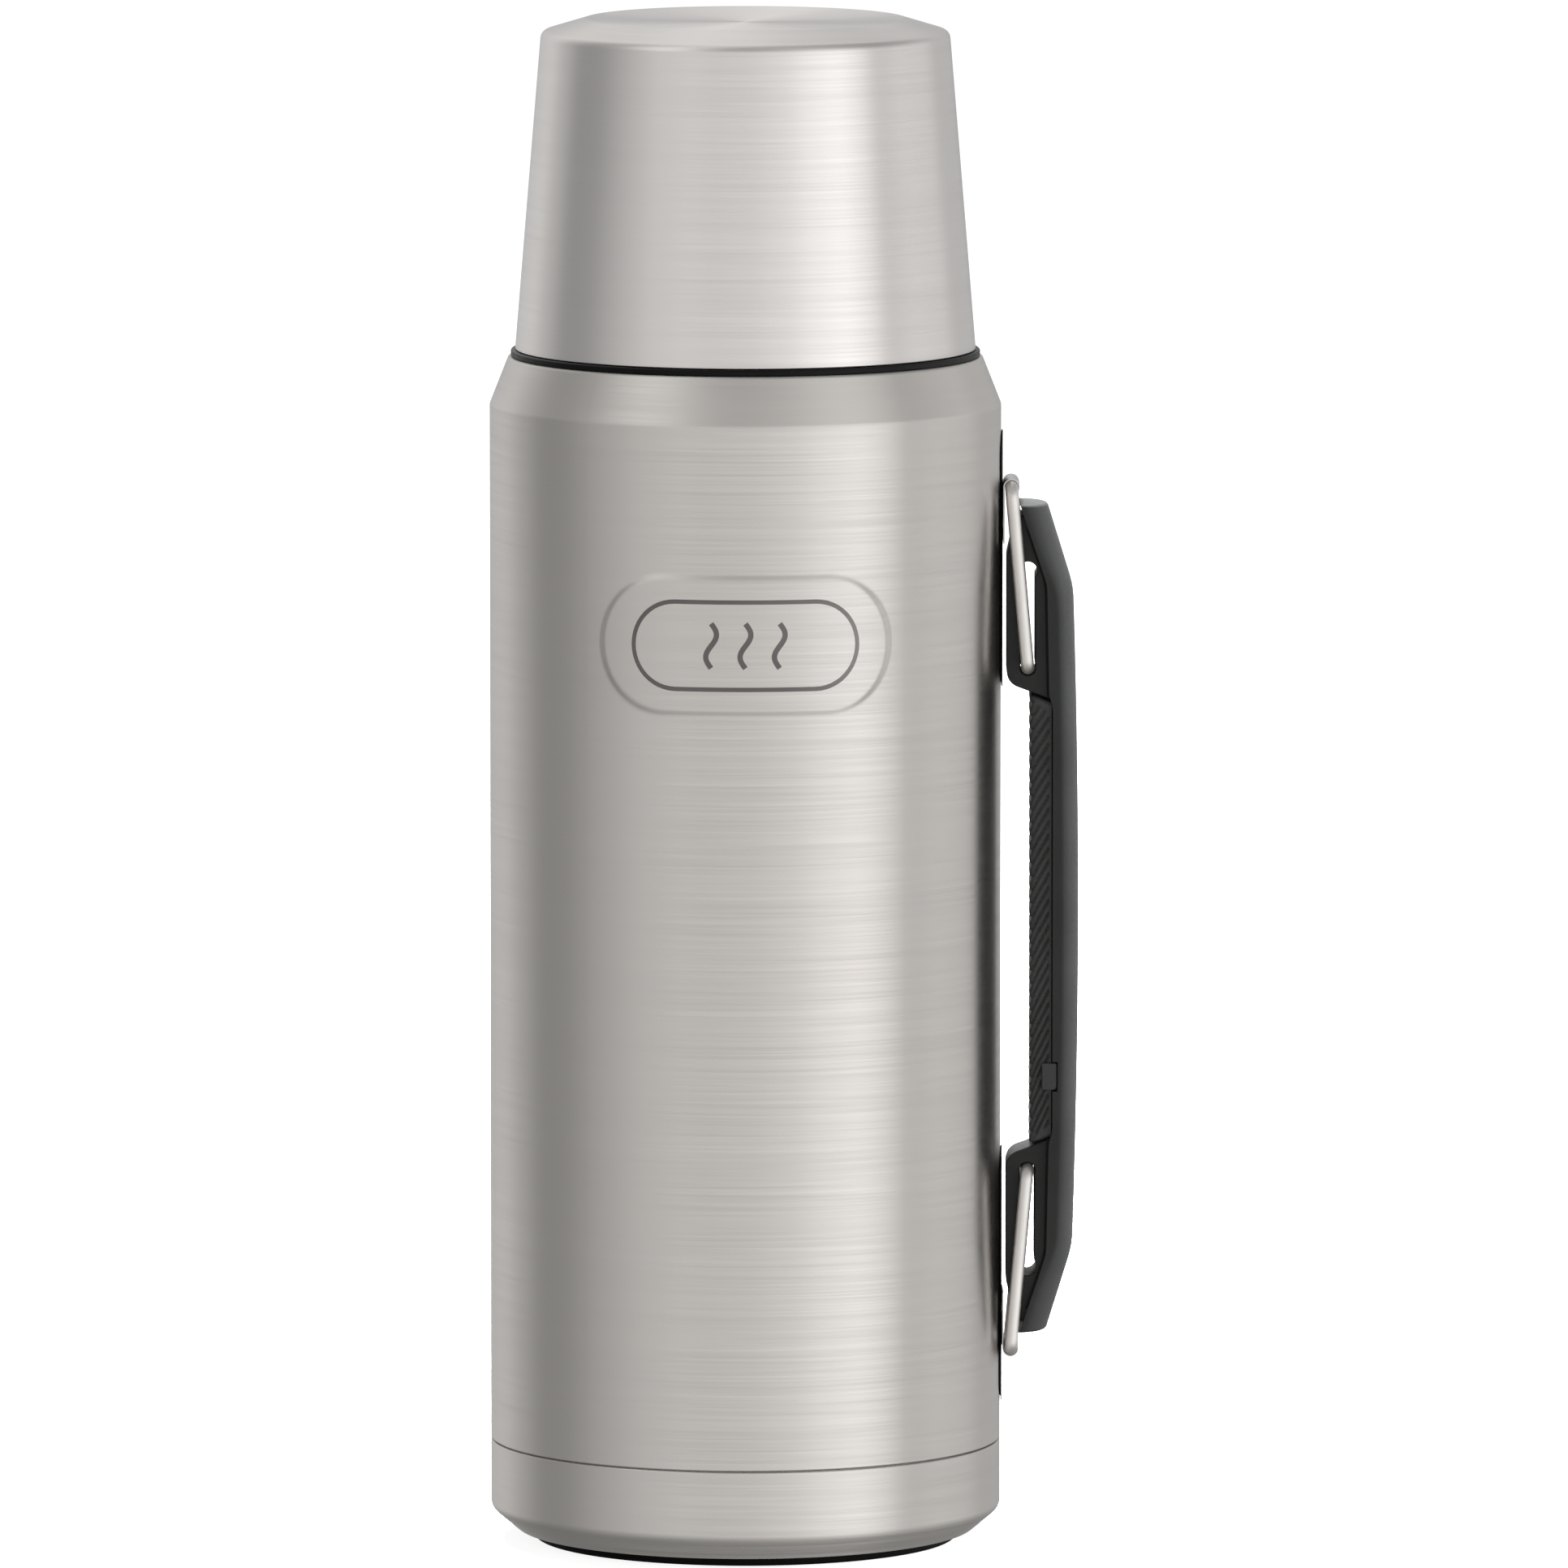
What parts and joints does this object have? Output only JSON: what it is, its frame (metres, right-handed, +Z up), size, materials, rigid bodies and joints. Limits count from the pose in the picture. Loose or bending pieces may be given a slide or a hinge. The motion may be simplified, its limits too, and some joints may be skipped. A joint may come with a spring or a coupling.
{
  "type": "vacuum flask",
  "caption": "Double-walled stainless-steel vacuum flask with a screw stopper under a screw-on drinking cup, and a ribbed side handle that swings out on two wire bails.",
  "frame": {"origin": "on the flask's axis, on the flat underside that it stands on", "axes": "+Z up along the flask's axis, +X towards the handle, -Y towards the flask's front"},
  "size_m": [0.1222, 0.106, 0.3169],
  "materials": {
    "brushed_body_steel": "satin, brushed round the axis",
    "brushed_cup_steel": "satin, brushed round the axis",
    "plain_steel": "satin",
    "wire_steel": "polished",
    "copper_foil": "bright",
    "getter_metal": "matte",
    "black_plastic": "matte",
    "handle_plastic": "matte, fine texture",
    "grip_rubber": "matte, ribbed",
    "black_rubber": "matte",
    "insulating_foam": "foamed",
    "silicone": "satin"
  },
  "bodies": {
    "bottle": {"outer_shell": "brushed_body_steel", "base_cup": "brushed_body_steel", "base_pad": "black_rubber", "outer_base_disc": "plain_steel", "vacuum_seal_plug": "plain_steel", "inner_vessel": "plain_steel", "inner_vessel_base": "plain_steel", "radiation_foil": "copper_foil", "getter": "getter_metal", "neck_collar": "black_plastic", "upper_bracket_pad": "black_rubber", "lower_bracket_pad": "black_rubber", "upper_bracket": "plain_steel", "lower_bracket": "plain_steel"},
    "upper_bail": {"upper_bail": "wire_steel"},
    "lower_bail": {"lower_bail": "wire_steel"},
    "handle": {"handle_cover": "handle_plastic", "handle_frame": "handle_plastic", "handle_grip": "grip_rubber"},
    "stopper_lift": {"stopper_upper_seal": "silicone"},
    "stopper": {"stopper_body": "black_plastic", "stopper_cap": "black_plastic", "stopper_foam": "insulating_foam", "stopper_base": "black_plastic", "stopper_lower_seal": "silicone"},
    "cup_lift": {"cup_liner": "plain_steel"},
    "cup": {"cup_shell": "brushed_cup_steel", "cup_thread_ring": "black_plastic"}
  },
  "joints": [
    {"name": "upper_bail_swing", "type": "hinge", "parent": "bottle", "child": "upper_bail", "pos_m": [0.0551, 0, 0.22], "axis": [0, -1, 0], "range_deg": [0, 37]},
    {"name": "handle_swing", "type": "hinge", "parent": "upper_bail", "child": "handle", "pos_m": [0.0585, 0, 0.1824], "axis": [0, -1, 0], "range_deg": [-37, 0]},
    {"name": "lower_bail_swing", "type": "hinge", "parent": "bottle", "child": "lower_bail", "pos_m": [0.0551, 0, 0.04], "axis": [0, 1, 0], "range_deg": [0, 37]},
    {"name": "stopper_rise", "type": "slide", "parent": "bottle", "child": "stopper_lift", "axis": [0, 0, 1], "range_m": [0, 0.0225]},
    {"name": "stopper_turn", "type": "hinge", "parent": "stopper_lift", "child": "stopper", "pos_m": [0, 0, 0.26], "axis": [0, 0, 1], "range_deg": [0, 900]},
    {"name": "cup_rise", "type": "slide", "parent": "bottle", "child": "cup_lift", "axis": [0, 0, 1], "range_m": [0, 0.075]},
    {"name": "cup_turn", "type": "hinge", "parent": "cup_lift", "child": "cup", "pos_m": [0, 0, 0.28], "axis": [0, 0, 1], "range_deg": [0, 1800]}
  ],
  "couplings": [
    {"joint": "handle_swing", "follows": "upper_bail_swing", "ratio": -1},
    {"joint": "lower_bail_swing", "follows": "upper_bail_swing", "ratio": 1},
    {"joint": "stopper_rise", "follows": "stopper_turn", "m_per_rad": 0.0014324},
    {"joint": "cup_rise", "follows": "cup_turn", "m_per_rad": 0.0023873}
  ]
}
